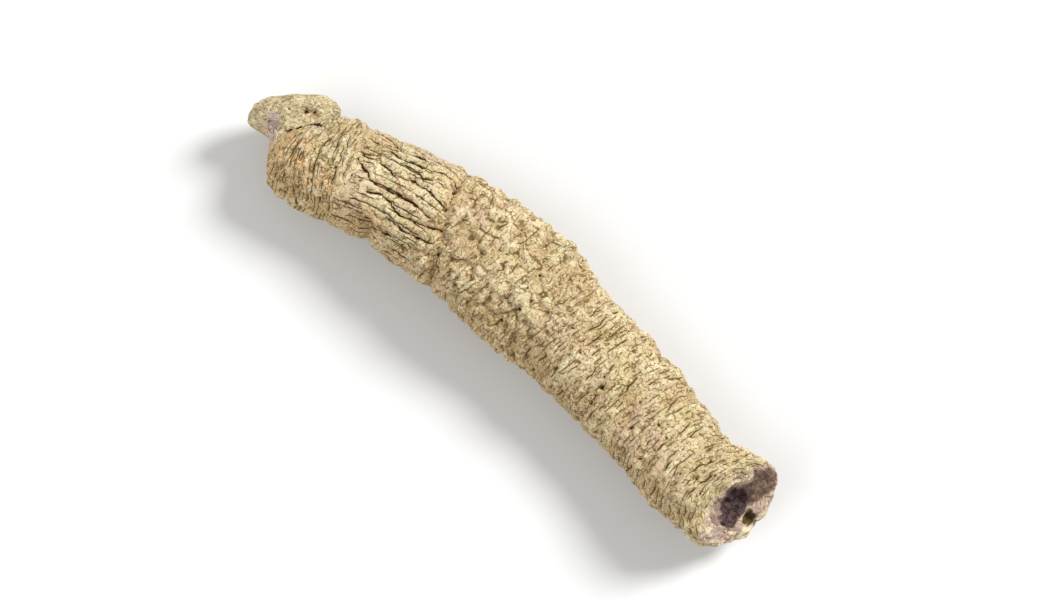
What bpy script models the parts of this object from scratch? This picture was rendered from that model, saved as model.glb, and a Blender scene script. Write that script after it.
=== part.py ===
# A dried morinda root: one grown piece that lies on a surface.
# The crown end, with its disc-shaped knob, is at -X and the cut end is at +X.
# The tables and sizes are in millimetres and degrees; the mesh is in metres.

import math

import bmesh
import bpy
import numpy as np
from mathutils import Vector, noise

MM = 0.001
NODE_NAME = "morinda_root"
MATERIAL_NAME = "dried_root_skin"
SKIN_COLOUR = (0.55, 0.45, 0.26, 1.0)
SKIN_ROUGHNESS = 0.88

# Facets of the skin: sides round the root, and rings from the knob's middle to the cut face's middle.
SIDES = 52
RINGS = 113

# How deep the root is pressed flat where it lies on the surface.
RESTING_PRESS = 0.6

# Rings of the root: running station, centre x, y and z, turn about Z, lean of the ring's top
# towards -X, then its half width on the +Y side and on the -Y side, and its half height.
RING_TABLE = [
    (-54.0, -45.9, 3.2, 9.0, -47.0, 0.0, 0.0, 0.0, 0.0),
    (-52.5, -46.0, 3.1, 9.0, -46.5, 0.0, 2.6, 2.4, 1.9),
    (-50.5, -45.6, 2.9, 8.9, -44.0, 0.0, 5.3, 4.9, 3.9),
    (-48.6, -44.7, 2.4, 8.7, -41.0, 0.0, 6.7, 6.2, 4.9),
    (-46.6, -43.4, 1.8, 8.4, -39.0, 0.0, 7.2, 6.6, 5.1),
    (-45.0, -42.2, 1.6, 8.2, -37.0, 0.0, 6.8, 5.6, 4.5),
    (-43.6, -41.0, 1.2, 8.0, -33.0, 0.0, 5.9, 5.3, 4.1),
    (-41.9, -40.2, 0.3, 7.7, -22.0, 0.0, 6.3, 6.4, 5.3),
    (-39.8, -39.0, -0.8, 7.4, -10.0, 0.0, 7.2, 7.6, 6.6),
    (-37.4, -37.3, -1.0, 7.2, -3.0, 0.0, 7.7, 7.9, 7.1),
    (-34.8, -35.0, -0.5, 7.1, 4.0, 0.0, 7.9, 8.1, 7.2),
    (-31.5, -31.8, 0.2, 7.2, 10.0, 0.0, 7.9, 8.2, 7.3),
    (-26.0, -26.0, 1.2, 7.7, 9.0, 0.0, 8.2, 8.1, 7.4),
    (-20.0, -20.0, 2.1, 8.4, 6.5, 0.0, 8.6, 8.6, 7.6),
    (-14.0, -14.0, 2.5, 8.8, 2.5, 0.0, 9.2, 8.9, 8.0),
    (-8.0, -8.0, 2.7, 8.8, -0.5, 0.0, 10.0, 9.2, 8.4),
    (-2.0, -2.0, 2.4, 8.4, -3.0, 0.0, 10.1, 9.9, 8.5),
    (3.0, 3.0, 2.0, 8.2, -5.5, 1.0, 10.0, 9.3, 8.2),
    (8.0, 8.0, 1.4, 8.2, -7.5, 3.0, 8.7, 8.7, 7.8),
    (14.0, 14.0, 0.5, 7.9, -8.5, 6.0, 8.5, 8.5, 7.6),
    (20.0, 20.0, -0.5, 7.5, -9.5, 9.0, 8.7, 8.2, 7.5),
    (26.0, 26.0, -1.5, 7.3, -10.5, 13.0, 8.5, 7.8, 7.3),
    (32.0, 32.0, -2.7, 8.0, -11.0, 18.0, 7.8, 8.0, 7.0),
    (38.0, 38.0, -3.9, 9.4, -11.5, 26.0, 7.2, 8.0, 6.8),
    (42.0, 41.9, -4.2, 10.4, -11.5, 32.0, 7.7, 7.6, 6.9),
    (44.2, 44.4, -4.2, 11.0, -11.0, 36.0, 7.8, 7.5, 7.1),
    (45.2, 44.7, -4.2, 11.1, -11.0, 36.0, 7.1, 6.9, 6.4),
    (47.0, 44.5, -4.1, 11.0, -11.0, 36.0, 5.2, 5.0, 4.8),
    (48.3, 44.3, -4.0, 10.8, -11.0, 36.0, 3.7, 3.6, 3.5),
    (49.7, 43.2, -3.9, 10.0, -11.0, 36.0, 2.9, 2.8, 2.8),
    (52.0, 42.9, -3.9, 9.8, -11.0, 36.0, 0.0, 0.0, 0.0),
]

# The wrinkled skin runs between these stations; outside them are the knob and the cut face.
SKIN_START, SKIN_END = -42.5, 44.2
SKIN_FADE_IN, SKIN_FADE_OUT = 4.0, 1.0

# The centre line seen from above, x and y. Marks are placed along it and across it, +Y positive.
CENTRE_LINE = [
    (-52.0, -4.2), (-44.6, -2.4), (-36.6, -0.8), (-24.6, 1.4), (-10.6, 2.6),
    (3.4, 1.9), (19.4, -0.4), (33.4, -3.0), (46.4, -5.4), (54.0, -6.6),
]

# Cracks that cross the root: path as (along, across), depth, half width.
CRACKS = [
    ([(-16.2, 9.0), (-15.9, 5.0), (-15.2, 1.0), (-13.3, -2.5), (-12.5, -5.5), (-11.3, -8.5)], 0.7, 0.8),
    ([(3.6, 9.8), (4.4, 8.2), (6.4, 6.2)], 0.6, 1.0),
    ([(15.6, 8.0), (14.8, 4.3), (13.7, 2.3), (12.3, -1.4), (11.8, -5.8), (11.6, -8.4)], 0.5, 0.8),
    ([(21.3, 8.8), (21.0, 6.4)], 0.5, 0.8),
    ([(28.6, 7.9), (27.6, 5.6), (26.4, 2.6)], 0.5, 0.9),
    ([(20.0, -7.8), (19.6, -5.2), (19.2, -1.8)], 0.5, 0.8),
    ([(37.5, 7.2), (36.4, 5.2), (35.6, 2.6)], 0.5, 1.2),
    ([(28.2, -7.8), (27.2, -5.0), (26.4, -2.6)], 0.4, 0.9),
    ([(-24.0, -8.0), (-24.4, -6.6)], 0.8, 0.9),
    ([(-5.2, 7.2), (-5.1, 3.8)], 0.5, 0.8),
]

# Long furrows near the crown, in the same form.
FURROWS = [
    ([(-30.0, 7.5), (-28.0, 7.2), (-26.5, 6.7), (-25.3, 6.3), (-22.0, 6.6)], 0.5, 0.6),
    ([(-27.0, 5.5), (-25.5, 5.0), (-21.6, 5.3), (-18.5, 6.0), (-16.4, 6.1)], 0.5, 0.6),
    ([(-30.5, 4.5), (-29.5, 4.1), (-28.0, 3.9), (-22.0, 4.1), (-21.0, 3.8), (-19.5, 4.0)], 0.6, 0.6),
    ([(-30.0, 2.7), (-26.0, 2.3), (-24.5, 1.9), (-23.0, 2.2), (-21.0, 2.4), (-18.0, 2.2)], 0.6, 0.6),
    ([(-30.5, 2.0), (-29.0, 0.5), (-27.0, -0.6), (-24.5, -0.7), (-20.0, -0.5), (-16.5, -1.2)], 0.6, 0.6),
    ([(-27.0, -2.2), (-25.0, -1.8), (-23.5, -2.1), (-20.7, -3.1), (-17.0, -2.7), (-14.0, -2.0)], 0.7, 0.6),
    ([(-22.6, -4.6), (-19.5, -4.6), (-18.0, -4.8), (-14.0, -4.3)], 0.6, 0.6),
    ([(-28.6, -5.4), (-24.0, -6.0), (-18.0, -6.6)], 0.4, 0.7),
]

# Raised knots on the cut end: along, across, radius, height.
KNOTS = [
    (44.4, 8.0, 1.2, 0.5),
    (47.9, 3.2, 1.0, 0.5),
    (48.2, -0.4, 1.2, 0.5),
    (43.4, -5.6, 1.1, 0.4),
]

# Stations between which the skin turns from cross ribs to long pleats, to a net, and to ribs again.
PLEATS_FROM, PLEATS_TO = (-32.0, -29.0), (-17.0, -13.0)
NET_TO = (4.0, 14.0)
RIBS_BETWEEN = 0.35

# Relief of the skin: soft lumps, cross ribs, long pleats and the raised net between cracks.
LUMP_SIZE, LUMP_HEIGHT = 6.5, 0.5
RIB_PITCH, RIB_REACH, RIB_HEIGHT = 1.35, 6.0, 0.65
PLEAT_PITCH, PLEAT_REACH, PLEAT_HEIGHT = 2.4, 7.0, 0.9
NET_CELL, NET_HEIGHT, NET_PLATEAU = 2.8, 0.6, 0.5
FACE_GRAIN, FACE_HEIGHT, KNOB_HEIGHT = 2.2, 0.5, 0.3
SEED = Vector((11.3, 4.7, 29.1))

# The nearest point of the centre line is found in a few steps, its slope over this distance.
CENTRE_STEPS, CENTRE_NUDGE = 6, 0.5


def smooth(table, at):
    """Reads every column of a table at the given stations, along smooth cubic arcs."""
    table = np.array(table, float)
    stations, values = table[:, 0], table[:, 1:]
    slopes = np.gradient(values, stations, axis=0)
    low = np.clip(np.searchsorted(stations, at, side="right") - 1, 0, len(stations) - 2)
    span = (stations[low + 1] - stations[low])[:, None]
    t = (np.asarray(at)[:, None] - stations[low][:, None]) / span
    return (
        values[low] * (1 + 2 * t) * (1 - t) ** 2
        + slopes[low] * span * t * (1 - t) ** 2
        + values[low + 1] * t * t * (3 - 2 * t)
        + slopes[low + 1] * span * t * t * (t - 1)
    )


def ramp(value, start, end):
    """0 before start, 1 after end, and a soft step in between."""
    t = np.clip((value - start) / (end - start), 0.0, 1.0)
    return t * t * (3 - 2 * t)


def skin_points(station, angle):
    """Points of the plain lofted root, and each point's place on a straight root, in millimetres."""
    x, y, z, turn, lean, up, down, high = smooth(RING_TABLE, station).T
    turn, lean = np.radians(turn), np.radians(lean)
    across = np.cos(angle) * np.where(np.cos(angle) > 0, up, down)
    rise = np.sin(angle) * high
    points = np.stack(
        [
            x - np.sin(turn) * across - np.cos(turn) * np.sin(lean) * rise,
            y + np.cos(turn) * across - np.sin(turn) * np.sin(lean) * rise,
            z + np.cos(lean) * rise,
        ],
        axis=1,
    )
    return points, np.stack([station, np.cos(angle) * up, rise], axis=1)


def along_across(points):
    """Distance in millimetres along the centre line and across it, seen from above."""
    x, y = points[:, 0], points[:, 1]
    along = x.copy()
    for _ in range(CENTRE_STEPS):
        middle = smooth(CENTRE_LINE, along)[:, 0]
        slope = (smooth(CENTRE_LINE, along + CENTRE_NUDGE)[:, 0] - middle) / CENTRE_NUDGE
        along = along + ((x - along) + (y - middle) * slope) / (1 + slope**2)
    across = ((y - middle) - (x - along) * slope) / np.sqrt(1 + slope**2)
    return along, across


def groove(places, path, depth, half_width):
    """Sinks a round groove along a path, with rounded ends."""
    knots = np.array(path)
    nearest = np.full(len(places), np.inf)
    for start, end in zip(knots[:-1], knots[1:]):
        run = end - start
        share = np.clip((places - start) @ run / (run @ run), 0.0, 1.0)
        off = np.linalg.norm(places - start - share[:, None] * run, axis=1)
        nearest = np.minimum(nearest, off)
    return -depth * np.exp(-((nearest / half_width) ** 2))


def noise_at(station, across, rise, along_size, round_size, shift):
    """Soft noise whose lumps are along_size long and round_size wide."""
    place = Vector((station / along_size, across / round_size, rise / round_size))
    return noise.noise(place + shift * SEED)


def net_at(station, across, rise):
    """1 on the plateaus of the raised net and 0 in the cracks between them."""
    near, second = noise.voronoi(Vector((station, across, rise)) / NET_CELL + SEED)[0][:2]
    return min(second - near, NET_PLATEAU) / NET_PLATEAU


def skin_relief(station, grown, places):
    """Height in millimetres that the dried skin stands above the plain loft."""
    pleated = ramp(station, *PLEATS_FROM) * (1 - ramp(station, *PLEATS_TO))
    netted = ramp(station, *PLEATS_TO) * (1 - ramp(station, *NET_TO))
    ribbed = np.maximum(1 - pleated - netted, RIBS_BETWEEN)
    relief = np.zeros(len(station))
    for i, (s, n, h) in enumerate(grown):
        relief[i] = (
            LUMP_HEIGHT * noise_at(s, n, h, LUMP_SIZE, LUMP_SIZE, 1)
            + RIB_HEIGHT * ribbed[i] * noise_at(s, n, h, RIB_PITCH, RIB_REACH, 2)
            + PLEAT_HEIGHT * pleated[i] * noise_at(s, n, h, PLEAT_REACH, PLEAT_PITCH, 3)
            + NET_HEIGHT * netted[i] * (net_at(s, n, h) - 0.5)
        )
    for path, depth, half_width in CRACKS + FURROWS:
        relief += groove(places, path, depth, half_width)
    faded_in = ramp(station, SKIN_START, SKIN_START + SKIN_FADE_IN)
    return relief * faded_in * (1 - ramp(station, SKIN_END - SKIN_FADE_OUT, SKIN_END))


def end_relief(station, points, places):
    """Height in millimetres of the torn grain and knots on the cut face and of the knob's grain."""
    grain = np.array([noise.noise(Vector(point) / FACE_GRAIN + SEED) for point in points])
    on_face = ramp(station, SKIN_END, SKIN_END + SKIN_FADE_OUT)
    on_knob = 1 - ramp(station, SKIN_START - SKIN_FADE_OUT, SKIN_START)
    relief = grain * (FACE_HEIGHT * on_face + KNOB_HEIGHT * on_knob)
    for along, across, radius, height in KNOTS:
        off = np.linalg.norm(places - (along, across), axis=1)
        relief += height * np.exp(-((off / radius) ** 2)) * (station > SKIN_START)
    return relief


def lay_down(bm):
    """Presses the underside flat where it lies, and centres the root on the origin."""
    for vertex in bm.verts:
        vertex.co.z = max(vertex.co.z - RESTING_PRESS, 0.0)
    corners = np.array([vertex.co for vertex in bm.verts])
    middle = (corners.min(axis=0) + corners.max(axis=0)) / 2
    bmesh.ops.translate(bm, vec=(-middle[0], -middle[1], 0.0), verts=bm.verts)


def root_mesh():
    """A sphere's rings stretched into the root, with its relief raised."""
    bm = bmesh.new()
    bmesh.ops.create_uvsphere(bm, u_segments=SIDES, v_segments=RINGS, radius=1.0)
    corners = np.array([vertex.co for vertex in bm.verts])
    from_knob = np.arccos(np.clip(-corners[:, 2], -1.0, 1.0)) / math.pi
    angle = np.arctan2(corners[:, 1], corners[:, 0]) % (2 * math.pi)
    first, last = RING_TABLE[0][0], RING_TABLE[-1][0]
    station = first + from_knob * (last - first)
    points, grown = skin_points(station, angle)
    for vertex, point in zip(bm.verts, points):
        vertex.co = Vector(point)
    bm.normal_update()
    places = np.stack(along_across(points), axis=1)
    relief = skin_relief(station, grown, places) + end_relief(station, points, places)
    for vertex, height in zip(bm.verts, relief):
        vertex.co += vertex.normal * height
    lay_down(bm)
    bmesh.ops.scale(bm, vec=(MM, MM, MM), verts=bm.verts)
    mesh = bpy.data.meshes.new(NODE_NAME)
    bm.to_mesh(mesh)
    bm.free()
    mesh.shade_smooth()
    return mesh


def dried_root_material():
    material = bpy.data.materials.new(MATERIAL_NAME)
    material.use_nodes = True
    shader = material.node_tree.nodes["Principled BSDF"]
    shader.inputs["Base Color"].default_value = SKIN_COLOUR
    shader.inputs["Roughness"].default_value = SKIN_ROUGHNESS
    shader.inputs["Metallic"].default_value = 0.0
    return material


def main():
    for old in list(bpy.data.objects):
        bpy.data.objects.remove(old)
    root = bpy.data.objects.new(NODE_NAME, root_mesh())
    root.data.materials.append(dried_root_material())
    bpy.context.scene.collection.objects.link(root)


main()
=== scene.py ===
import math

import bmesh
import bpy
import numpy as np
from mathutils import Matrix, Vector, noise


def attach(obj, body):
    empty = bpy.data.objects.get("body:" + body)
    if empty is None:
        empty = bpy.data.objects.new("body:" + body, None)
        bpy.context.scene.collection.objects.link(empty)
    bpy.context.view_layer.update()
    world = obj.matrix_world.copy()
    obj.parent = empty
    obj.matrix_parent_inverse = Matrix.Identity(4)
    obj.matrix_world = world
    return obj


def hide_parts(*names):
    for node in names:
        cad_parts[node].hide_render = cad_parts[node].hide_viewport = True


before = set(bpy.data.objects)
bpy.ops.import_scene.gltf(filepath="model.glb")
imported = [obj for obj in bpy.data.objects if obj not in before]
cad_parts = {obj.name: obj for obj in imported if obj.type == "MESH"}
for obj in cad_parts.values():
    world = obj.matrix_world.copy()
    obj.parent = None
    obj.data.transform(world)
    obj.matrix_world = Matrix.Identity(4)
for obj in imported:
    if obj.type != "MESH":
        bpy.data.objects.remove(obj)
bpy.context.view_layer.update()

print("frame loaded")

mm = 0.001
farAway = 9.0  # a distance, in half widths, at which no mark shows

# how far each pattern is shifted in the noise, so that they don't run alike
shifts = {
    "lumps": 1, "ribs": 2, "pleats": 3, "net": 1, "crumbs": 8, "pocks": 11, "lines": 20, "crackle": 31,
    "breaks": 50, "markAlong": 60, "markAcross": 70, "stray": 80, "cutEdge": 80,
}

# the grown body of the root, in millimetres and degrees, crown end at -X and cut end at +X
rootBody = {
    "sides": 204,
    "rings": 480,
    "crowdedTop": 0.28,  # how much closer the sides stand on top than underneath
    "pressFlat": 0.6,  # how deep it is worn flat where it lies
    # station, centre x y z, turn about Z, lean of the top towards -X, half widths +Y and -Y, half height
    "ringTable": [
        (-54.0, -45.9, 3.2, 9.0, -47.0, 0.0, 0.0, 0.0, 0.0),
        (-52.5, -46.0, 3.1, 9.0, -46.5, 0.0, 2.6, 2.4, 1.9),
        (-50.5, -45.6, 2.9, 8.9, -44.0, 0.0, 5.3, 4.9, 3.9),
        (-48.6, -44.7, 2.4, 8.7, -41.0, 0.0, 6.7, 6.2, 4.9),
        (-46.6, -43.4, 1.8, 8.4, -39.0, 0.0, 7.2, 6.6, 5.1),
        (-45.0, -42.2, 1.6, 8.2, -37.0, 0.0, 6.8, 5.6, 4.5),
        (-43.6, -41.0, 1.2, 8.0, -33.0, 0.0, 5.9, 5.3, 4.1),
        (-41.9, -40.2, 0.3, 7.7, -22.0, 0.0, 6.3, 6.4, 5.3),
        (-39.8, -39.0, -0.8, 7.4, -10.0, 0.0, 7.2, 7.6, 6.6),
        (-37.4, -37.3, -1.0, 7.2, -3.0, 0.0, 7.7, 7.9, 7.1),
        (-34.8, -35.0, -0.5, 7.1, 4.0, 0.0, 7.9, 8.1, 7.2),
        (-31.5, -31.8, 0.2, 7.2, 10.0, 0.0, 7.9, 8.2, 7.3),
        (-26.0, -26.0, 1.2, 7.7, 9.0, 0.0, 8.2, 8.1, 7.4),
        (-20.0, -20.0, 2.1, 8.4, 6.5, 0.0, 8.6, 8.6, 7.6),
        (-14.0, -14.0, 2.5, 8.8, 2.5, 0.0, 9.2, 8.9, 8.0),
        (-8.0, -8.0, 2.7, 8.8, -0.5, 0.0, 10.0, 9.2, 8.4),
        (-2.0, -2.0, 2.4, 8.4, -3.0, 0.0, 10.1, 9.9, 8.5),
        (3.0, 3.0, 2.0, 8.2, -5.5, 1.0, 10.0, 9.3, 8.2),
        (8.0, 8.0, 1.4, 8.2, -7.5, 3.0, 8.7, 8.7, 7.8),
        (14.0, 14.0, 0.5, 7.9, -8.5, 6.0, 8.5, 8.5, 7.6),
        (20.0, 20.0, -0.5, 7.5, -9.5, 9.0, 8.7, 8.2, 7.5),
        (26.0, 26.0, -1.5, 7.3, -10.5, 13.0, 8.5, 7.8, 7.3),
        (32.0, 32.0, -2.7, 8.0, -11.0, 18.0, 7.8, 8.0, 7.0),
        (38.0, 38.0, -3.9, 9.4, -11.5, 26.0, 7.2, 8.0, 6.8),
        (42.0, 41.9, -4.2, 10.4, -11.5, 32.0, 7.7, 7.6, 6.9),
        (44.2, 44.4, -4.2, 11.0, -11.0, 36.0, 7.8, 7.5, 7.1),
        (45.2, 44.7, -4.2, 11.1, -11.0, 36.0, 7.1, 6.9, 6.4),
        (47.0, 44.5, -4.1, 11.0, -11.0, 36.0, 5.2, 5.0, 4.8),
        (48.3, 44.3, -4.0, 10.8, -11.0, 36.0, 3.7, 3.6, 3.5),
        (49.7, 43.2, -3.9, 10.0, -11.0, 36.0, 2.9, 2.8, 2.8),
        (52.0, 42.9, -3.9, 9.8, -11.0, 36.0, 0.0, 0.0, 0.0),
    ],
    # the centre line seen from above, x and y; marks are placed along and across it
    "centreLine": [
        (-52.0, -4.2), (-44.6, -2.4), (-36.6, -0.8), (-24.6, 1.4), (-10.6, 2.6),
        (3.4, 1.9), (19.4, -0.4), (33.4, -3.0), (46.4, -5.4), (54.0, -6.6),
    ],
    "skin": (-42.5, 44.2),  # stations between which the skin's relief is found
    "fadeIn": 4.0,  # over how far it fades in at the knob, and out at the cut
    "fadeOut": 1.0,
    "rimSkin": 3.6,  # how far the skin runs over the cut's upper rim
    "rimTurn": -0.15,  # how far round that lip sits from the crest, and how narrow it is
    "rimPower": 1.5,
    "cutEdge": {"far": 0.8, "size": 0.8, "blend": 0.5},  # how ragged and how soft the skin's edge is there
    # stations where ribs turn to pleats, pleats to the net, and the net to ribs again
    "pleatsFrom": (-32.0, -29.0),
    "pleatsTo": (-17.0, -13.0),
    "netTo": (4.0, 14.0),
    "ribsBetween": 0.35,  # how strong the ribs stay in the pleats and the net
    # sizes along and round the root, then height
    "lumps": (6.5, 6.5, 0.5),
    "ribs": (1.35, 5.0, 0.55),
    "pleats": (7.0, 2.4, 0.25),
    "net": {"cell": 2.8, "height": 0.6, "plateau": 0.5},
    # the knob and the cut: size of the grain and its height on each, the torn fibres of the cut and
    # the knob's dents, each as size and height
    "ends": {
        "grain": 2.2, "face": 0.5, "knob": 0.3, "tear": 0.6, "torn": 0.32, "dents": 1.3, "dented": 0.22,
    },
    "seed": Vector((11.3, 4.7, 29.1)),
}

# marks with a place of their own, along and across the centre line
rootMarks = {
    # cracks across the root and furrows along it: path, depth, half width, how wide the thin line is
    "cracks": [
        (
            [(-16.2, 9.0), (-15.9, 5.0), (-15.2, 1.0), (-13.3, -2.5), (-12.5, -5.5), (-11.3, -8.5)],
            0.55, 0.8, 0.5,
        ),
        ([(3.6, 9.8), (4.4, 8.2), (6.4, 6.2)], 0.45, 1.0, 0.4),
        ([(15.6, 8.0), (14.8, 4.3), (13.7, 2.3), (12.3, -1.4), (11.8, -5.8), (11.6, -8.4)], 0.3, 0.8, 0.3),
        ([(21.3, 8.8), (21.0, 6.4)], 0.35, 0.8, 0.2),
        ([(28.6, 7.9), (27.6, 5.6), (26.4, 2.6)], 0.35, 0.9, 0.2),
        ([(20.0, -7.8), (19.6, -5.2), (19.2, -1.8)], 0.35, 0.8, 0.5),
        ([(37.5, 7.2), (36.4, 5.2), (35.6, 2.6)], 0.4, 1.2, 0.2),
        ([(28.2, -7.8), (27.2, -5.0), (26.4, -2.6)], 0.3, 0.9, 0.2),
        ([(-24.0, -8.0), (-24.4, -6.6)], 0.7, 0.9, 0.8),
        ([(-5.2, 7.2), (-5.1, 3.8)], 0.4, 0.8, 0.4),
        ([(-42.4, 0.7), (-41.0, 1.8), (-39.4, 3.0), (-37.8, 3.9)], 0.3, 0.4, 1.0),
    ],
    "furrows": [
        ([(-30.0, 7.5), (-28.0, 7.2), (-26.5, 6.7), (-25.3, 6.3), (-22.0, 6.6)], 0.2, 0.45, 1.0),
        ([(-27.0, 5.5), (-25.5, 5.0), (-21.6, 5.3), (-18.5, 6.0), (-16.4, 6.1)], 0.2, 0.45, 1.0),
        (
            [(-30.5, 4.5), (-29.5, 4.1), (-28.0, 3.9), (-22.0, 4.1), (-21.0, 3.8), (-19.5, 4.0)],
            0.22, 0.45, 1.0,
        ),
        (
            [(-30.0, 2.7), (-26.0, 2.3), (-24.5, 1.9), (-23.0, 2.2), (-21.0, 2.4), (-18.0, 2.2)],
            0.22, 0.45, 1.0,
        ),
        (
            [(-30.5, 2.0), (-29.0, 0.5), (-27.0, -0.6), (-24.5, -0.7), (-20.0, -0.5), (-16.5, -1.2)],
            0.26, 0.45, 1.0,
        ),
        (
            [(-27.0, -2.2), (-25.0, -1.8), (-23.5, -2.1), (-20.7, -3.1), (-17.0, -2.7), (-14.0, -2.0)],
            0.3, 0.45, 1.0,
        ),
        ([(-22.6, -4.6), (-19.5, -4.6), (-18.0, -4.8), (-14.0, -4.3)], 0.22, 0.45, 0.9),
        ([(-28.6, -5.4), (-24.0, -6.0), (-18.0, -6.6)], 0.18, 0.5, 0.7),
    ],
    "thinLine": (0.13, 0.28),  # half width and depth of the thin line in them
    # raised knots and small hollows on the cut end: along, across, radius, height
    "knots": [
        (44.4, 8.0, 1.2, 0.5), (47.9, 3.2, 1.0, 0.5), (48.2, -0.4, 1.2, 0.5), (43.4, -5.6, 1.1, 0.4),
        (47.2, 1.5, 0.75, -0.8), (48.6, 2.2, 0.35, -0.4), (47.0, 3.9, 0.6, 0.25), (47.1, -0.6, 0.5, 0.25),
        (43.7, 0.6, 0.35, -0.3), (45.7, -0.3, 0.35, -0.35), (46.5, -1.9, 0.35, -0.4),
        (45.3, -2.2, 0.35, -0.3), (47.2, -3.2, 0.5, -0.3), (46.6, -4.6, 0.5, 0.3), (45.8, 4.6, 0.8, -0.3),
        (47.6, -5.0, 0.45, -0.3),
    ],
    # thin dark strokes: path, depth, half width
    "strokes": [
        ([(-16.0, 6.6), (-15.9, 4.6)], 0.5, 0.4),
        ([(-15.9, 5.0), (-13.6, 6.2)], 0.3, 0.35),
        ([(-9.3, 6.6), (-9.3, 4.5)], 0.35, 0.4),
        ([(-5.2, 6.5), (-5.1, 3.8)], 0.35, 0.4),
        ([(-10.5, 0.4), (-9.0, 0.2), (-7.5, -1.2)], 0.35, 0.35),
        ([(-4.0, -0.3), (-3.5, -1.3)], 0.3, 0.35),
        ([(-8.0, -5.8), (-6.0, -6.0)], 0.3, 0.35),
        ([(3.3, -0.2), (5.0, -0.9), (7.0, -1.2), (9.0, -1.5)], 0.3, 0.35),
        ([(15.5, 6.0), (14.8, 4.3), (13.7, 2.3)], 0.35, 0.3),
        ([(-34.0, 2.2), (-32.5, 2.7)], 0.3, 0.3),
        ([(-25.5, 1.2), (-24.0, 0.7), (-22.5, 0.4)], 0.3, 0.3),
        ([(-29.6, 5.5), (-27.8, 5.1)], 0.25, 0.3),
        ([(19.9, -5.6), (19.5, -3.0)], 0.3, 0.35),
    ],
    "strokeFade": 0.75,  # how much paler the strokes are than the cracks
    "strokeEdge": 2.4,  # how sharp the edges of the strokes and pits are
    "pitEdge": 1.7,
    "pitDepth": 1.1,  # in the pit's own radii
    # pits: along, across, radius
    "pits": [
        (28.7, 0.0, 0.45), (39.4, 0.9, 0.28), (38.2, -1.5, 0.3), (26.5, -3.5, 0.4), (24.8, -4.3, 0.35),
        (1.5, 2.5, 0.4), (2.6, -3.4, 0.4), (1.7, -6.5, 0.45), (13.5, -1.5, 0.35), (-15.6, 1.3, 0.4),
        (-16.0, 6.2, 0.4), (-15.9, 5.0, 0.45), (-12.5, -5.6, 0.5), (-40.4, 4.7, 0.7), (-39.3, 5.3, 0.5),
        (-42.6, 3.6, 0.3), (-36.8, 5.9, 0.35), (18.5, -1.3, 0.35), (19.4, -2.7, 0.45),
        (5.2, 5.0, 0.3), (31.0, -0.7, 0.35), (36.1, -2.6, 0.3), (40.2, -2.6, 0.3), (30.5, -5.2, 0.35),
        (-12.1, 2.3, 0.3), (-10.3, -4.4, 0.35), (-32.6, -1.1, 0.35), (-30.0, -1.1, 0.4), (12.1, 2.3, 0.3),
        (10.2, 0.2, 0.3), (14.6, 0.9, 0.3), (41.0, -3.8, 0.3), (33.2, 2.4, 0.3), (24.6, 0.1, 0.3),
    ],
    # how far lines stray and over what length, in long bends and in short kinks
    "wander": [(0.35, 1.8), (0.22, 0.5)],
}

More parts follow.
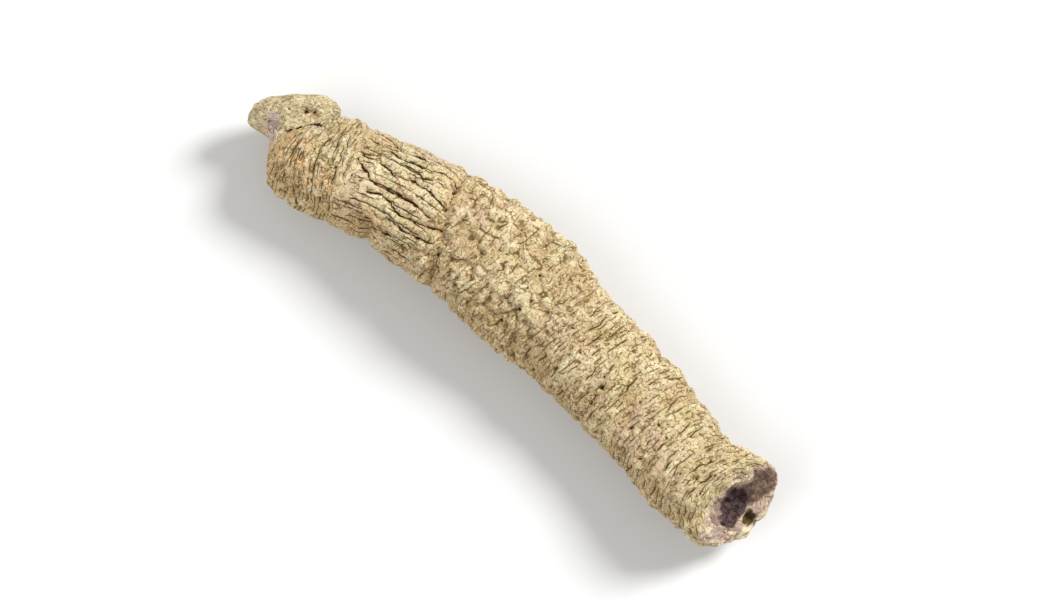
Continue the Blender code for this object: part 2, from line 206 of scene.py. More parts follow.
# fine wrinkles of the dried skin
skinDetail = {
    # sets of lines that run side by side: pitch, wander (in pitches, size along, size round), kinks,
    # half width of the dark line and of its groove (in pitches), depth, how dark, breaks (size
    # along, size round, from, to), then how strong in the ribs, pleats and net
    "lines": {
        "crossLines": {
            "pitch": 0.8, "wander": (0.9, 5.0, 8.0), "kinks": (0.2, 1.1, 1.0),
            "halfWidth": 0.13, "grooveHalf": 0.34, "depth": 0.3, "darkness": 0.67,
            "breaks": (0.9, 1.6, -0.2, 0.4), "zones": (1.0, 0.25, 0.6),
        },
        "crossFolds": {
            "pitch": 1.9, "wander": (0.8, 6.0, 8.0), "kinks": (0.2, 1.4, 1.3),
            "halfWidth": 0.065, "grooveHalf": 0.24, "depth": 0.45, "darkness": 0.8,
            "breaks": (1.1, 2.0, -0.1, 0.4), "zones": (1.0, 0.0, 0.7),
        },
        "longLines": {
            "pitch": 1.15, "wander": (0.7, 7.0, 3.0), "kinks": (0.2, 0.8, 0.7),
            "halfWidth": 0.08, "grooveHalf": 0.15, "depth": 0.2, "darkness": 0.95,
            "breaks": (3.0, 0.9, -0.35, 0.3), "zones": (0.0, 1.0, 0.0),
        },
    },
    # crackled skin: cells along and round, half width of the dark edge and of its groove (in
    # cells), depth, tilt of its flakes, how dark, then how strong in the ribs, pleats and net
    "crackle": {
        "ribCells": {
            "sizes": (1.0, 1.9), "halfWidth": 0.05, "grooveHalf": 0.22, "depth": 0.16, "tilt": 0.25,
            "darkness": 0.6, "zones": (0.8, 0.15, 0.5),
        },
        "netCells": {
            "sizes": (2.0, 3.2), "halfWidth": 0.06, "grooveHalf": 0.24, "depth": 0.32, "tilt": 0.85,
            "darkness": 0.72, "zones": (0.2, 0.1, 1.0),
        },
        "longCells": {
            "sizes": (3.6, 1.1), "halfWidth": 0.06, "grooveHalf": 0.15, "depth": 0.12, "tilt": 0.0,
            "darkness": 0.7, "zones": (0.0, 0.8, 0.15),
        },
    },
    "crackleBreaks": (1.2, 1.2, -0.3, 0.3),  # size along, size round, from, to
    "cellSpread": 7.3,  # spreads the cells' middles, so that each draws its own numbers
    "flakeEdge": 0.16,  # share of a flake that falls off to its edge
    # how far the crackle strays and over what length
    "stray": [(0.5, 2.2), (0.28, 0.7)],
    # crumbs of skin: size along, size round, height
    "crumbs": [(1.0, 1.4, 0.12), (0.5, 0.65, 0.08)],
    "crumbZones": (1.0, 0.8, 0.6),  # how strong in the ribs, pleats and net
    "crownStrong": (-34.0, -30.0, 0.3),  # how much stronger lines are towards the crown end
    # painted highlight and painted shade: the fine height turns its highs pale and its lows tan
    "crumbShown": 1.1,  # how strongly the fine height turns the skin pale or brown
    # small pocks: cell, share of the cells that have one, radius from and to, depth, and what turns
    # a cell's number into a second one
    "pocks": {"cell": 1.1, "share": 0.5, "radius": (0.1, 0.25), "depth": 0.3, "redraw": 7.0},
    # how much the cross lines slant at each station, and how softly the slant sets in at the crest
    "crownSkew": [(-46.0, 0.6), (-38.0, 0.6), (-33.0, 0.45), (-28.0, 0.1), (-22.0, 0.0), (60.0, 0.0)],
    "crownBend": 5.0,
    # painted shade: from where to where across the root the side away from the key light turns browner,
    # and how much
    "shadedSide": (1.5, 9.0, 0.7),
    "ontoEnds": 0.6,  # how strong the fine wrinkles stay on the knob and the cut
}

# soft stains: along, across, reach along, reach across, strength
skinStains = {
    "orangeStain": [
        (-39.5, -3.0, 3.5, 4.5, 0.9), (-34.0, -4.5, 4.0, 3.0, 0.7), (-25.5, -6.0, 2.4, 1.8, 1.0),
        (-41.0, 0.6, 1.6, 1.4, 0.9), (24.8, -5.0, 1.2, 1.6, 0.7), (-0.5, -7.4, 1.6, 1.2, 0.6),
        (28.4, 4.6, 1.0, 0.8, 0.5), (-19.6, 4.7, 2.4, 0.9, 0.4), (-18.0, -7.5, 3.0, 1.4, 0.5),
    ],
    "greyStain": [
        (-33.0, 1.2, 1.8, 2.0, 0.9), (-36.5, 3.4, 3.0, 1.6, 0.5), (-25.5, 5.2, 2.4, 1.6, 0.6),
        (-18.5, -6.0, 2.2, 1.2, 0.5), (1.2, 8.8, 2.0, 1.6, 0.6), (6.5, 3.6, 2.4, 2.4, 0.5),
        (-45.3, 4.8, 1.6, 1.0, 0.7), (33.5, 6.0, 2.6, 1.8, 0.4), (13.0, 7.6, 3.0, 1.2, 0.4),
    ],
    "pinkStain": [
        (-11.5, 3.0, 2.6, 4.2, 0.9), (-10.0, -4.5, 2.4, 3.0, 0.7), (1.6, -3.0, 1.8, 2.4, 0.6),
        (9.5, -2.0, 3.4, 4.0, 0.6), (27.5, -3.5, 3.6, 3.6, 0.8), (-28.5, -4.5, 2.2, 1.8, 0.7),
        (-20.5, 7.6, 3.0, 1.2, 0.6), (38.0, -6.0, 3.0, 2.0, 0.5), (-3.5, 8.6, 3.6, 1.4, 0.5),
        (43.0, 6.6, 1.4, 1.4, 0.7), (18.2, -3.2, 1.2, 1.6, 0.6), (25.6, 5.0, 1.4, 1.4, 0.4),
    ],
    "scarStain": [(-44.3, 1.4, 1.0, 1.2, 0.8), (-43.8, 0.4, 0.8, 1.0, 0.9), (-43.9, -0.6, 0.7, 0.7, 0.9)],
    "coreStain": [(44.5, 0.8, 1.5, 2.1, 1.0), (45.2, -1.0, 1.2, 1.2, 1.0), (43.8, 2.2, 1.0, 1.3, 0.9)],
    "bandStain": [
        (44.2, -2.4, 0.8, 0.9, 1.0), (43.2, -0.6, 0.8, 1.2, 1.0), (43.2, 1.8, 0.8, 1.2, 1.0),
        (43.8, 3.4, 0.8, 1.0, 0.9),
    ],
    "rimStain": [
        (44.7, 3.4, 1.2, 1.2, 1.0), (44.9, 4.8, 1.4, 1.5, 1.0), (44.9, 6.2, 1.4, 1.4, 1.0),
        (44.4, 7.5, 1.0, 1.0, 0.9),
    ],
    "lilacStain": [
        (47.0, 3.9, 0.9, 1.0, 1.0), (47.1, -0.5, 0.6, 0.8, 0.9), (43.6, 7.2, 1.0, 1.2, 0.9),
        (45.9, -3.4, 1.0, 1.2, 0.8),
    ],
    "creamStain": [(48.4, 3.2, 0.9, 1.0, 1.0), (48.3, 0.0, 0.9, 1.2, 1.0), (48.2, -1.8, 0.8, 0.9, 0.9)],
    "oliveStain": [(47.2, 1.5, 0.8, 1.1, 1.0), (48.4, 2.3, 0.4, 0.5, 0.9), (46.4, 2.1, 0.5, 0.7, 0.7)],
}


def smooth(table, at):
    # reads every column of a table at the given stations, along smooth cubic arcs
    table = np.array(table, float)
    stations, values = table[:, 0], table[:, 1:]
    slopes = np.gradient(values, stations, axis=0)
    low = np.clip(np.searchsorted(stations, at, side="right") - 1, 0, len(stations) - 2)
    span = (stations[low + 1] - stations[low])[:, None]
    t = (np.asarray(at)[:, None] - stations[low][:, None]) / span
    return (
        values[low] * (1 + 2 * t) * (1 - t) ** 2
        + slopes[low] * span * t * (1 - t) ** 2
        + values[low + 1] * t * t * (3 - 2 * t)
        + slopes[low + 1] * span * t * t * (t - 1)
    )


def ramp(value, start, end):
    t = np.clip((value - start) / (end - start), 0.0, 1.0)
    return t * t * (3 - 2 * t)


def loft(station, angle):
    # the plain root: points, their places on a straight root (station, across, rise), way round it
    x, y, z, turn, lean, left, right, high = smooth(rootBody["ringTable"], station).T
    turn, lean = np.radians(turn), np.radians(lean)
    wide = np.where(np.cos(angle) > 0, left, right)
    across = np.cos(angle) * wide
    rise = np.sin(angle) * high
    points = np.stack(
        [
            x - np.sin(turn) * across - np.cos(turn) * np.sin(lean) * rise,
            y + np.cos(turn) * across - np.sin(turn) * np.sin(lean) * rise,
            z + np.cos(lean) * rise,
        ],
        axis=1,
    )
    fromCrest = (math.pi / 2 - angle + math.pi) % (2 * math.pi) - math.pi
    wayRound = fromCrest * (wide + high) / 2
    return points, np.stack([station, np.cos(angle) * left, rise], axis=1), wayRound


def alongAcross(points):
    # distance along and across the centre line, seen from above
    x, y = points[:, 0], points[:, 1]
    along = x.copy()
    nudge, rounds = 0.5, 6  # the step that the slope is read over, and how often the place is bettered
    for _ in range(rounds):
        middle = smooth(rootBody["centreLine"], along)[:, 0]
        ahead = smooth(rootBody["centreLine"], along + nudge)[:, 0]
        slope = (ahead - middle) / nudge
        along = along + ((x - along) + (y - middle) * slope) / (1 + slope**2)
    across = ((y - middle) - (x - along) * slope) / np.sqrt(1 + slope**2)
    return along, across


def nearestTo(path, along, across):
    # distance to a path of straight runs
    nearest = np.full(len(along), np.inf)
    bends = np.array(path, float)
    for start, end in zip(bends[:-1], bends[1:]):
        run = end - start
        gone = np.stack([along - start[0], across - start[1]], axis=1)
        share = np.clip(gone @ run / (run @ run), 0.0, 1.0)
        nearest = np.minimum(nearest, np.linalg.norm(gone - share[:, None] * run, axis=1))
    return nearest


def noiseAt(points, size, move=Vector()):
    # soft noise in space, whose lumps are as long as size
    return np.array([noise.noise(Vector(point) / size + move) for point in points])


def noiseOver(grown, sizes, shift):
    # soft noise whose lumps are sizes[0] long and sizes[1] round
    scaled = grown / np.array([sizes[0], sizes[1], sizes[1]])
    move = shift * rootBody["seed"]
    return np.array([noise.noise(Vector(place) + move) for place in scaled])


def cellsOver(grown, sizes, shift):
    # distance to the nearest cell's middle and to the second nearest, a number for each cell, and
    # the rise of its own tilted flake
    scaled = grown / np.array([sizes[0], sizes[1], sizes[1]])
    move = shift * rootBody["seed"]
    level = Vector((0.5, 0.5, 0.5))
    spread = skinDetail["cellSpread"]
    found = []
    for place in scaled:
        spot = Vector(place) + move
        gaps, middles = noise.voronoi(spot)
        tilt = noise.cell_vector(middles[0] * spread) - level
        found.append((gaps[0], gaps[1], noise.cell(middles[0] * spread), tilt.dot(spot - middles[0])))
    return np.array(found).T


def valley(gap, halfWidth):
    return np.exp(-((gap / halfWidth) ** 2))


def linesOver(detail, way, grown, shift):
    # lines that run side by side across the given way: a count of them, and how strong they are
    bend, bendAlong, bendRound = detail["wander"]
    kink, kinkAlong, kinkRound = detail["kinks"]
    count = way / detail["pitch"]
    count += bend * noiseOver(grown, (bendAlong, bendRound), shift)
    count += kink * noiseOver(grown, (kinkAlong, kinkRound), shift + 1)
    breakAlong, breakRound, start, end = detail["breaks"]
    return count, ramp(noiseOver(grown, (breakAlong, breakRound), shift + 2), start, end)


def strayed(grown, shift):
    # the same places, moved about a little
    moved = grown.copy()
    for number, (far, size) in enumerate(skinDetail["stray"]):
        for axis in range(3):
            moved[:, axis] += far * noiseOver(grown, (size, size), shift + 3 * number + axis)
    return moved


def zonesOf(station):
    # how much of each place is pleated, netted and ribbed
    pleated = ramp(station, *rootBody["pleatsFrom"]) * (1 - ramp(station, *rootBody["pleatsTo"]))
    netted = ramp(station, *rootBody["pleatsTo"]) * (1 - ramp(station, *rootBody["netTo"]))
    return pleated, netted, 1 - pleated - netted


def grownRelief(station, grown):
    # the lumps, ribs, pleats and net that the solid has too
    pleated, netted, ribbed = zonesOf(station)
    net = rootBody["net"]
    near, second, _, _ = cellsOver(grown, (net["cell"], net["cell"]), shifts["net"])
    plateau = np.minimum(second - near, net["plateau"]) / net["plateau"]
    ribs = np.maximum(ribbed, rootBody["ribsBetween"])
    height = net["height"] * netted * (plateau - 0.5)
    for name, amount in {"lumps": 1.0, "ribs": ribs, "pleats": pleated}.items():
        height += rootBody[name][2] * amount * noiseOver(grown, rootBody[name], shifts[name])
    return height


def endRelief(station, points):
    # the relief of the knob and the cut, and how much of each place is knob
    ends = rootBody["ends"]
    first, last = rootBody["skin"]
    onFace = ramp(station, last, last + rootBody["fadeOut"])
    onKnob = 1 - ramp(station, first - rootBody["fadeOut"], first)
    grain = noiseAt(points, ends["grain"], rootBody["seed"])
    height = grain * (ends["face"] * onFace + ends["knob"] * onKnob)
    height += ends["torn"] * noiseAt(points, ends["tear"]) * onFace
    height += ends["dented"] * noiseAt(points, ends["dents"]) * onKnob
    return height, onKnob


def paired(first, second):
    # two values for a vector attribute, whose third part stays empty
    return np.stack([first, second, np.zeros(len(first))], axis=1)


def fineRelief(station, grown, wayRound, onKnob):
    # the fine wrinkles: height, how near a pock is, and for each set the field that the material
    # draws its lines from, as a count or a gap and how strong it is
    pleated, netted, ribbed = zonesOf(station)
    zones = np.stack([ribbed, pleated, netted], axis=1)
    skewTable = skinDetail["crownSkew"]
    skew = smooth(skewTable, np.clip(station, skewTable[0][0], skewTable[-1][0]))[:, 0]
    slant = (grown[:, 1] - np.hypot(grown[:, 1], skinDetail["crownBend"])) / 2
    slanted = grown[:, 0] + slant * skew
    crownFrom, crownTo, strong = skinDetail["crownStrong"]
    shown = 1 + strong * (1 - ramp(station, crownFrom, crownTo))
    height = np.zeros(len(station))
    fields = {}
    ways = {"crossLines": slanted, "crossFolds": slanted, "longLines": wayRound}
    for number, (name, detail) in enumerate(skinDetail["lines"].items()):
        count, share = linesOver(detail, ways[name], grown, shifts["lines"] + 10 * number)
        share *= (zones @ detail["zones"]) * (1 - onKnob)
        height -= detail["depth"] * share * valley(np.abs(count % 1.0 - 0.5), detail["grooveHalf"])
        fields[name] = paired(count, share * shown)

    moved = strayed(np.column_stack([slanted, grown[:, 1:]]), shifts["stray"])
    breakAlong, breakRound, start, end = skinDetail["crackleBreaks"]
    for number, (name, detail) in enumerate(skinDetail["crackle"].items()):
        near, second, _, rise = cellsOver(moved, detail["sizes"], shifts["crackle"] + number)
        edge = second - near
        zoned = zones @ detail["zones"]
        share = ramp(noiseOver(grown, (breakAlong, breakRound), shifts["breaks"] + number), start, end)
        share *= zoned
        height -= detail["depth"] * share * valley(edge, detail["grooveHalf"])
        height += detail["tilt"] * rise * np.minimum(edge / skinDetail["flakeEdge"], 1.0) * zoned
        fields[name] = paired(edge, share * shown)

    crumbed = zones @ skinDetail["crumbZones"]
    for number, (sizeAlong, sizeRound, rise) in enumerate(skinDetail["crumbs"]):
        height += rise * crumbed * noiseOver(grown, (sizeAlong, sizeRound), shifts["crumbs"] + number)

    pocks = skinDetail["pocks"]
    near, _, lot, _ = cellsOver(moved, (pocks["cell"], pocks["cell"]), shifts["pocks"])
    small, large = pocks["radius"]
    radius = small + (large - small) * (lot * pocks["redraw"] % 1.0)
    gap = near * pocks["cell"] / radius + farAway * (lot % 1.0 > pocks["share"])
    height -= pocks["depth"] * valley(gap, 1.0)
    return height, fields, gap


def markRelief(station, grown, along, across):
    # the marks: their height, how near a line or pit is, and the height of the knots
    strayAlong, strayAcross = along.copy(), across.copy()
    for number, (far, size) in enumerate(rootMarks["wander"]):
        strayAlong += far * noiseOver(grown, (size, size), shifts["markAlong"] + number)
        strayAcross += far * noiseOver(grown, (size, size), shifts["markAcross"] + number)
    height = np.zeros(len(along))
    nearest = np.full(len(along), farAway)
    lineHalf, lineDepth = rootMarks["thinLine"]
    for path, depth, halfWidth, thin in rootMarks["cracks"] + rootMarks["furrows"]:
        height -= depth * valley(nearestTo(path, along, across), halfWidth)
        gap = nearestTo(path, strayAlong, strayAcross) / (lineHalf * thin)
        height -= lineDepth * valley(gap, 1.0)
        nearest = np.minimum(nearest, gap)
    for path, depth, halfWidth in rootMarks["strokes"]:
        gap = nearestTo(path, strayAlong, strayAcross) / halfWidth
        height -= depth * valley(gap, 1.0)
        nearest = np.minimum(nearest, gap * rootMarks["strokeEdge"] + rootMarks["strokeFade"])
    for pitAlong, pitAcross, radius in rootMarks["pits"]:
        gap = np.hypot(strayAlong - pitAlong, strayAcross - pitAcross) / radius
        gap = np.where(grown[:, 2] > 0, gap, farAway)
        height -= rootMarks["pitDepth"] * radius * valley(gap, 1.0)
        nearest = np.minimum(nearest, gap * rootMarks["pitEdge"])
    knots = np.zeros(len(along))
    for knotAlong, knotAcross, radius, rise in rootMarks["knots"]:
        gap = np.hypot(along - knotAlong, across - knotAcross)
        knots += rise * valley(gap, radius) * (station > rootBody["skin"][0])
    return height, nearest, knots


def stainOver(spots, along, across):
    # how strong the strongest of a stain's spots is at each place
    amount = np.zeros(len(along))
    for spotAlong, spotAcross, reachAlong, reachAcross, strength in spots:
        gap = ((along - spotAlong) / reachAlong) ** 2 + ((across - spotAcross) / reachAcross) ** 2
        amount = np.maximum(amount, strength * np.exp(-gap * gap * 0.5))
    return amount


def keepValues(mesh, name, values):
    # keeps a number or a vector at each vertex, for the material
    kind = "FLOAT_VECTOR" if values.ndim == 2 else "FLOAT"
    field = "vector" if values.ndim == 2 else "value"
    layer = mesh.attributes.new(name, kind, "POINT")
    layer.data.foreach_set(field, np.ascontiguousarray(values, np.float32).ravel())


def growRoot():
    # a sphere's rings are stretched into the root, then its relief is raised
    bm = bmesh.new()
    bmesh.ops.create_uvsphere(
        bm, u_segments=rootBody["sides"], v_segments=rootBody["rings"], radius=1.0
    )
    corners = np.array([vertex.co for vertex in bm.verts])
    fromKnob = np.arccos(np.clip(-corners[:, 2], -1.0, 1.0)) / math.pi
    even = np.arctan2(corners[:, 1], corners[:, 0])
    angle = even + rootBody["crowdedTop"] * np.cos(even)
    first, last = rootBody["ringTable"][0][0], rootBody["ringTable"][-1][0]
    station = first + fromKnob * (last - first)
    points, grown, wayRound = loft(station, angle)
    for vertex, point in zip(bm.verts, points):
        vertex.co = Vector(point)
    bm.normal_update()
    along, across = alongAcross(points)
    skinFrom, skinTo = rootBody["skin"]
    onSkin = ramp(station, skinFrom, skinFrom + rootBody["fadeIn"])
    onSkin = onSkin * (1 - ramp(station, skinTo - rootBody["fadeOut"], skinTo))
    coarse = grownRelief(station, grown)
    marks, nearMark, knots = markRelief(station, grown, along, across)
    torn, onKnob = endRelief(station, points)
    fine, fields, nearPock = fineRelief(station, grown, wayRound, onKnob)
    nearSkin = np.clip(onSkin + skinDetail["ontoEnds"], 0.0, 1.0)
    relief = coarse * onSkin + marks * np.maximum(onSkin, onKnob) + knots + torn + fine * nearSkin
    for vertex, height in zip(bm.verts, relief):
        vertex.co += vertex.normal * height
    for vertex in bm.verts:
        vertex.co.z = max(vertex.co.z - rootBody["pressFlat"], 0.0)
    places = np.array([vertex.co for vertex in bm.verts])
    middle = (places.min(axis=0) + places.max(axis=0)) / 2
    bmesh.ops.translate(bm, vec=(-middle[0], -middle[1], 0.0), verts=bm.verts)
    bmesh.ops.scale(bm, vec=(mm, mm, mm), verts=bm.verts)
    mesh = bpy.data.meshes.new("driedRoot")
    bm.to_mesh(mesh)
    bm.free()
    mesh.shade_smooth()
    keepValues(mesh, "grownPlace", grown)
    keepValues(mesh, "nearMark", np.minimum(nearMark, farAway))
    keepValues(mesh, "nearPock", np.minimum(nearPock, farAway))
    for name, field in fields.items():
        keepValues(mesh, name, field)
    # the coarse relief and marks, for the material to paint the raised skin paler and the sunken skin tan:
    # painted highlight and painted shade
    keepValues(mesh, "crest", np.clip(0.5 + (coarse + marks) * onSkin, 0.0, 1.0))
    # the fine relief's height, for the material to paint its highs pale and its lows tan: painted
    # highlight and painted shade
    keepValues(mesh, "fineHeightShading", np.clip(0.5 + skinDetail["crumbShown"] * fine, 0.0, 1.0))
    onTop = np.clip(np.sin(angle + rootBody["rimTurn"]), 0.0, 1.0)
    rolledIn = skinTo + rootBody["rimSkin"] * onTop ** rootBody["rimPower"]
    edge = rootBody["cutEdge"]
    ragged = station + edge["far"] * noiseOver(grown, (edge["size"], edge["size"]), shifts["cutEdge"])
    keepValues(mesh, "cutFace", ramp(ragged, rolledIn, rolledIn + edge["blend"]))
    keepValues(mesh, "knobSkin", onKnob)
    # painted shade: the side away from the key light, towards -Y, is marked for a browner coat
    shadeFrom, shadeTo, shadeMuch = skinDetail["shadedSide"]
    keepValues(mesh, "shadedSide", shadeMuch * ramp(-across, shadeFrom, shadeTo))
    for name, spots in skinStains.items():
        keepValues(mesh, name, stainOver(spots, along, across))
    root = bpy.data.objects.new("driedRoot", mesh)
    bpy.context.scene.collection.objects.link(root)
    return root


class Wire:
    # a node's socket, so that shader maths reads as an expression
    def __init__(self, tree, socket):
        self.tree = tree
        self.socket = socket

    def node(self, kind, settings, values, output=0):
        made = self.tree.nodes.new(kind)
        for name, value in settings.items():
            setattr(made, name, value)
        for name, value in values.items():
            if isinstance(value, Wire):
                self.tree.links.new(value.socket, made.inputs[name])
            else:
                made.inputs[name].default_value = value
        return Wire(self.tree, made.outputs[output])

    def maths(self, operation, left, right):
        return self.node("ShaderNodeMath", {"operation": operation}, {0: left, 1: right})

    def __add__(self, other):
        return self.maths("ADD", self, other)

    def __radd__(self, other):
        return self.maths("ADD", other, self)

    def __sub__(self, other):
        return self.maths("SUBTRACT", self, other)

    def __rsub__(self, other):
        return self.maths("SUBTRACT", other, self)

    def __mul__(self, other):
        return self.maths("MULTIPLY", self, other)

    def __rmul__(self, other):
        return self.maths("MULTIPLY", other, self)

    def most(self, other):
        return self.maths("MAXIMUM", self, other)

    def fraction(self):
        return self.maths("FRACT", self, 0.0)

    def size(self):
        return self.maths("ABSOLUTE", self, 0.0)

    def part(self, number):
        return self.node("ShaderNodeSeparateXYZ", {}, {0: self}, number)

    def ramp(self, low, high, start=0.0, end=1.0):
        return self.node(
            "ShaderNodeMapRange",
            {"interpolation_type": "SMOOTHSTEP"},
            {"Value": self, "From Min": low, "From Max": high, "To Min": start, "To Max": end},
        )

    def blend(self, under, over):
        # self is how much of the second colour covers the first
        return self.node("ShaderNodeMix", {"data_type": "RGBA"}, {0: self, 6: under, 7: over}, 2)

    def vectors(self, operation, values):
        return self.node("ShaderNodeVectorMath", {"operation": operation}, values)

    def stretched(self, sizes):
        return self.vectors("MULTIPLY", {0: self, 1: tuple(1.0 / size for size in sizes)})

    def strayed(self, far, size):
        spots = {"Vector": self.stretched((size,) * 3), "Scale": 1.0}
        wobble = self.node("ShaderNodeTexNoise", {}, spots, 1)
        return self.vectors("MULTIPLY_ADD", {0: wobble, 1: (far,) * 3, 2: self})

    def crackle(self, sizes):
        return self.node(
            "ShaderNodeTexVoronoi",
            {"feature": "DISTANCE_TO_EDGE"},
            {"Vector": self.stretched(sizes), "Scale": 1.0},
        )

    def noise(self, sizes, detail, roughness=0.5):
        return self.node(
            "ShaderNodeTexNoise",
            {},
            {"Vector": self.stretched(sizes), "Scale": 1.0, "Detail": detail, "Roughness": roughness},
        )


def paint(red, green, blue):
    # a colour as seen on screen, 0 to 255, made linear for the shader
    linear = [((part / 255 + 0.055) / 1.055) ** 2.4 for part in (red, green, blue)]
    return (*linear, 1.0)


# the paints of the skin, then of the knob and the cut
rootPaint = {
    # pale and tan also serve as painted highlight and painted shade on the skin's relief
    "pale": paint(242, 229, 190),
    "cream": paint(226, 208, 163),
    "straw": paint(212, 192, 145),
    "moss": paint(198, 188, 139),
    "blush": paint(214, 186, 155),
    "tan": paint(184, 155, 108),
    # shade is the painted shade of the side away from the key light
    "shade": paint(192, 158, 108),
    "orange": paint(208, 156, 98),
    "grey": paint(188, 187, 158),
    "pink": paint(202, 173, 149),
    # furrow and groove are the dark of cracks, furrows and pits: partly the skin's own dark cracks, partly
    # painted shade in them
    "furrow": paint(46, 29, 8),
    "groove": paint(126, 98, 52),
    # speck is the skin's own dark specks and also painted shade in the grain's lows
    "speckAndShade": paint(122, 95, 50),
    "knob": paint(188, 166, 130),
    "knobPale": paint(226, 211, 168),
    "scar": paint(196, 172, 176),
    "core": paint(92, 71, 74),
    "coreDark": paint(48, 34, 35),
    "band": paint(164, 146, 136),
    "rim": paint(138, 110, 96),
    "rimDark": paint(98, 74, 60),
    "lilac": paint(192, 166, 152),
    "lump": paint(236, 220, 184),
    "flesh": paint(198, 168, 148),
    "fleshSpeck": paint(112, 78, 66),
    "olive": paint(104, 82, 42),
    "oliveDark": paint(58, 42, 18),
}

# soft patterns of the skin: sizes, detail, roughness
skinNoises = {
    "blotch": ((6.0, 5.0, 5.0), 3.0, 0.5),
    "mottle": ((1.4, 1.2, 1.2), 3.0, 0.6),
    "tint": ((1.9, 1.6, 1.6), 2.0, 0.6),
    "flush": ((2.3, 2.1, 2.1), 2.0, 0.6),
    "grain": ((0.3, 0.32, 0.32), 3.0, 0.65),
    "grit": ((0.62, 0.7, 0.7), 1.0, 0.5),
    "torn": ((0.7, 0.7, 0.7), 2.0, 0.6),
}

# how the skin's fine light and dark is built up
skinFinish = {
    "crazing": ((0.62, 0.8, 0.8), 0.4, 0.7),  # cells of the finest crackle, how far they stray, over what
    "darkFrom": (0.15, 0.9),  # from what strength a line shows, and in full
    "lineEdge": (0.4, 1.3),  # where a line's dark fades out, in its half widths
    "crackleEdge": (0.4, 1.6),
    "bumpDepth": 0.36,  # in millimetres
    "gloss": 0.25,
}


def newMaterial(name):
    material = bpy.data.materials.new(name)
    material.use_nodes = True
    tree = material.node_tree
    shader = tree.nodes["Principled BSDF"]
    return material, tree, shader


def valueOf(tree, name, output):
    made = tree.nodes.new("ShaderNodeAttribute")
    made.attribute_name = name
    return Wire(tree, made.outputs[output])


def lineMask(tree, name, detail, ends, counted):
    # how dark one set of lines is here: its field holds a count of lines or a gap, and its strength
    field = valueOf(tree, name, "Vector")
    strong = field.part(1).ramp(*skinFinish["darkFrom"], 0.0, detail["darkness"])
    gap = (field.part(0).fraction() - 0.5).size() if counted else field.part(0)
    return gap.ramp(ends[0] * detail["halfWidth"], ends[1] * detail["halfWidth"], 1.0, 0.0) * strong


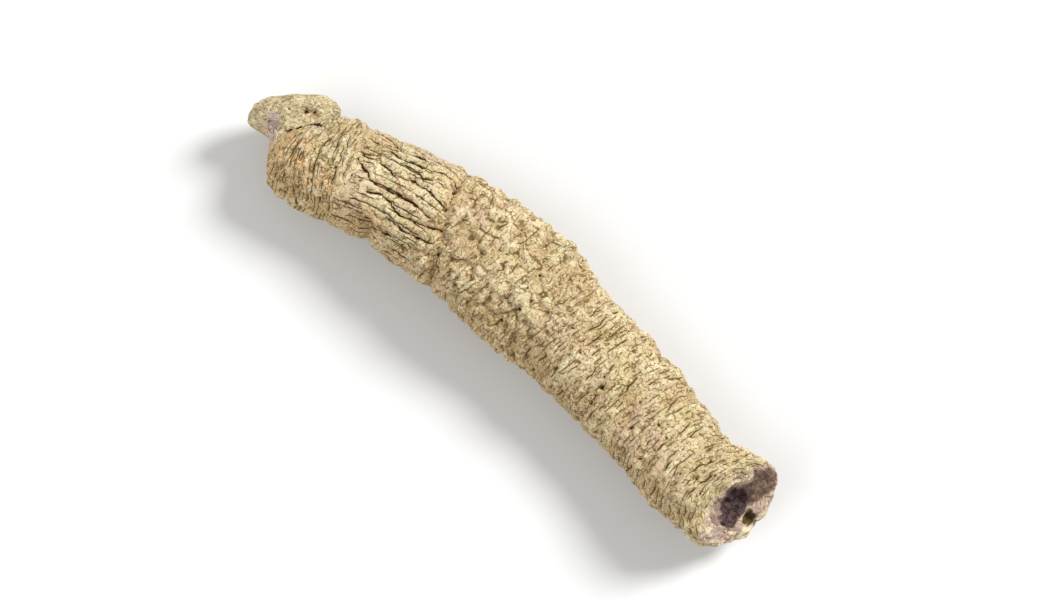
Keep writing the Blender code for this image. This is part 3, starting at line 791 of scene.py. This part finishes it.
def skinMaterial():
    material, tree, shader = newMaterial("driedRootSkin")
    place = valueOf(tree, "grownPlace", "Vector")
    stain = {name: valueOf(tree, name, "Fac") for name in skinStains}
    crest = valueOf(tree, "crest", "Fac")
    fineHeightShading = valueOf(tree, "fineHeightShading", "Fac")
    shaded = valueOf(tree, "shadedSide", "Fac")
    face = valueOf(tree, "cutFace", "Fac")
    knob = valueOf(tree, "knobSkin", "Fac")

    noises = {name: place.noise(*settings) for name, settings in skinNoises.items()}
    mottle, tint, flush = noises["mottle"], noises["tint"], noises["flush"]
    grain, grit, torn = noises["grain"], noises["grit"], noises["torn"]
    cells, far, over = skinFinish["crazing"]
    finely = place.strayed(far, over).crackle(cells).ramp(0.02, 0.1, 1.0, 0.0) * grit.ramp(0.42, 0.6)

    # the darkest of all sets of lines, paler on the knob and none on the cut
    masks = []
    for name, detail in skinDetail["lines"].items():
        masks.append(lineMask(tree, name, detail, skinFinish["lineEdge"], True))
    for name, detail in skinDetail["crackle"].items():
        masks.append(lineMask(tree, name, detail, skinFinish["crackleEdge"], False))
    lines = masks[0]
    for mask in masks[1:]:
        lines = mask.most(lines)
    lines = lines * (1.0 - face) * (1.0 - 0.5 * knob)
    marks = valueOf(tree, "nearMark", "Fac").ramp(0.5, 1.4, 1.0, 0.0)
    pocks = valueOf(tree, "nearPock", "Fac").ramp(0.3, 1.1, 1.0, 0.0) * (1.0 - 0.5 * knob)
    sunk = lines.most(marks).most(pocks)

    # the skin, one thin coat of paint over the other
    colour = noises["blotch"].ramp(0.38, 0.62).blend(rootPaint["cream"], rootPaint["straw"])
    worn = tint.ramp(0.4, 0.6).blend(rootPaint["knob"], rootPaint["knobPale"])
    coats = [
        (tint.ramp(0.47, 0.62, 0.0, 0.8), rootPaint["moss"]),
        (flush.ramp(0.47, 0.62, 0.0, 0.75), rootPaint["blush"]),
        (mottle.ramp(0.52, 0.74, 0.0, 0.5), rootPaint["tan"]),
        (stain["orangeStain"] * mottle.ramp(0.38, 0.56) * 0.85, rootPaint["orange"]),
        (stain["greyStain"] * mottle.ramp(0.35, 0.6) * 0.85, rootPaint["grey"]),
        (stain["pinkStain"] * flush.ramp(0.3, 0.55) * 0.7, rootPaint["pink"]),
        # painted shade on the side away from the key light
        (shaded * mottle.ramp(0.3, 0.6), rootPaint["shade"]),
        (knob * 0.8, worn),
        # painted highlight on the raised relief and painted shade in the sunken relief
        (crest.ramp(0.55, 0.95, 0.0, 0.5), rootPaint["pale"]),
        (crest.ramp(0.42, 0.1, 0.0, 0.6), rootPaint["tan"]),
        (stain["scarStain"] * mottle.ramp(0.3, 0.5), rootPaint["scar"]),
        # painted highlight on the fine relief's highs and painted shade in its lows
        (fineHeightShading.ramp(0.5, 0.6, 0.0, 0.45), rootPaint["pale"]),
        (fineHeightShading.ramp(0.42, 0.26, 0.0, 0.35), rootPaint["tan"]),
        # pale on the grain's highs and speck-brown in its lows, where the bump rises and sinks: partly the
        # skin's own pale and dark specks, partly painted highlight and painted shade
        (grain.ramp(0.53, 0.66, 0.0, 0.7), rootPaint["pale"]),
        (grain.ramp(0.42, 0.3, 0.0, 0.8), rootPaint["speckAndShade"]),
        # the finest crazing lines painted groove-brown: partly the skin's own fine cracks, partly painted
        # shade in them
        (finely * 0.8, rootPaint["groove"]),
    ]
    for much, cover in coats:
        colour = much.blend(colour, cover)

    def ragged(name, much):
        # a stain whose edge is torn
        return stain[name] + torn * much - much / 2

    # the flesh of the cut: lilac, brown rim, pale band, cream lumps, hollow, then the dark core
    flesh = torn.ramp(0.42, 0.6).blend(rootPaint["flesh"], rootPaint["lump"])
    rim = mottle.ramp(0.4, 0.6).blend(rootPaint["rimDark"], rootPaint["rim"])
    band = grit.ramp(0.4, 0.6).blend(rootPaint["rim"], rootPaint["band"])
    hollow = mottle.ramp(0.4, 0.6).blend(rootPaint["olive"], rootPaint["oliveDark"])
    core = (mottle * 0.6 + torn * 0.4).ramp(0.42, 0.58).blend(rootPaint["coreDark"], rootPaint["core"])
    coats = [
        (ragged("lilacStain", 0.6).ramp(0.3, 0.7, 0.0, 0.9), rootPaint["lilac"]),
        (ragged("rimStain", 0.8).ramp(0.3, 0.65, 0.0, 0.92), rim),
        (ragged("bandStain", 1.2).ramp(0.3, 0.75, 0.0, 0.9), band),
        (ragged("creamStain", 0.4).ramp(0.3, 0.7), rootPaint["lump"]),
        (grit.ramp(0.44, 0.34, 0.0, 0.75), rootPaint["fleshSpeck"]),
        (ragged("oliveStain", 0.9).ramp(0.3, 0.8), hollow),
        (grain.ramp(0.56, 0.7, 0.0, 0.3), rootPaint["lump"]),
        (ragged("coreStain", 0.9).ramp(0.35, 0.65, 0.0, 0.97), core),
    ]
    for much, cover in coats:
        flesh = much.blend(flesh, cover)
    colour = face.blend(colour, flesh)
    # lines, crackle, marks and pocks painted groove-brown, and furrow-dark at their middles: partly the
    # skin's own dark cracks and pits, partly painted shade in them
    colour = sunk.ramp(0.1, 0.5, 0.0, 0.8).blend(colour, rootPaint["groove"])
    colour = sunk.ramp(0.5, 0.95, 0.0, 0.95).blend(colour, rootPaint["furrow"])

    height = grain * 1.2 + mottle * 0.4 + grit * 0.9 - finely * 0.4 - sunk * 0.5
    depth = skinFinish["bumpDepth"] * mm
    bump = height.node("ShaderNodeBump", {}, {"Height": height, "Strength": 1.0, "Distance": depth})
    tree.links.new(colour.socket, shader.inputs["Base Color"])
    tree.links.new(bump.socket, shader.inputs["Normal"])
    tree.links.new(mottle.ramp(0.3, 0.7, 0.82, 0.95).socket, shader.inputs["Roughness"])
    shader.inputs["Specular IOR Level"].default_value = skinFinish["gloss"]
    return material


studio = {
    "floorSize": 3.0,
    "floorPaint": (0.68, 0.68, 0.675, 1.0),
    "floorDim": 0.985,  # how bright its soft patches are, and their size
    "floorPatch": 0.4,
    # where the camera stands, its lens, how far off it is and what it looks at
    "azimuth": 38.0,
    "elevation": 80.0,
    "lens": 110.0,
    "distance": 0.4726,
    "aim": (0.00075, 0.0005, 0.008),
    "world": (1.0, 1.0, 1.0, 1.0),
    "worldStrength": 0.5,
    # place, size, power
    "key": ((0.27, 0.59, 0.60), 0.3, 9.3),
    "fill": ((-0.35, -0.55, 0.60), 0.9, 4.2),
}


def floorMaterial():
    material, tree, shader = newMaterial("paleFloor")
    made = tree.nodes.new("ShaderNodeTexCoord")
    place = Wire(tree, made.outputs["Object"])
    soft = place.noise((studio["floorPatch"],) * 3, 2.0)
    pale = studio["floorPaint"]
    dim = tuple(part * studio["floorDim"] for part in pale[:3]) + (1.0,)
    tree.links.new(soft.blend(pale, dim).socket, shader.inputs["Base Color"])
    shader.inputs["Roughness"].default_value = 0.9
    shader.inputs["Specular IOR Level"].default_value = 0.2
    return material


def layFloor():
    bm = bmesh.new()
    bmesh.ops.create_grid(bm, x_segments=1, y_segments=1, size=studio["floorSize"] / 2)
    mesh = bpy.data.meshes.new("paleFloor")
    bm.to_mesh(mesh)
    bm.free()
    floor = bpy.data.objects.new("paleFloor", mesh)
    floor.data.materials.append(floorMaterial())
    bpy.context.scene.collection.objects.link(floor)
    return floor


def hangLight(name, place, size, power):
    light = bpy.data.lights.new(name, "AREA")
    light.shape = "DISK"
    light.size = size
    light.energy = power
    lamp = bpy.data.objects.new(name, light)
    lamp.location = place
    lamp.rotation_euler = Vector(place).to_track_quat("Z", "Y").to_euler()
    bpy.context.scene.collection.objects.link(lamp)


def lightUp():
    world = bpy.data.worlds.new("studioWorld")
    world.use_nodes = True
    background = world.node_tree.nodes["Background"]
    background.inputs["Color"].default_value = studio["world"]
    background.inputs["Strength"].default_value = studio["worldStrength"]
    bpy.context.scene.world = world
    bpy.context.scene.view_settings.view_transform = "Standard"  # paints show as they are mixed
    hangLight("keyLight", *studio["key"])
    hangLight("fillLight", *studio["fill"])


def setCamera():
    azimuth, elevation = math.radians(studio["azimuth"]), math.radians(studio["elevation"])
    towards = Vector(
        (
            math.sin(azimuth) * math.cos(elevation),
            -math.cos(azimuth) * math.cos(elevation),
            math.sin(elevation),
        )
    )
    camera = bpy.data.objects.new("photoCamera", bpy.data.cameras.new("photoCamera"))
    camera.data.lens = studio["lens"]
    camera.data.clip_start = 0.01
    camera.location = Vector(studio["aim"]) + towards * studio["distance"]
    camera.rotation_euler = towards.to_track_quat("Z", "Y").to_euler()
    bpy.context.scene.collection.objects.link(camera)
    bpy.context.scene.camera = camera


root = growRoot()
root.data.materials.append(skinMaterial())
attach(root, "root")
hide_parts("morinda_root")
print("root grown:", len(root.data.polygons), "faces")

layFloor()
lightUp()
setCamera()
print("studio set")
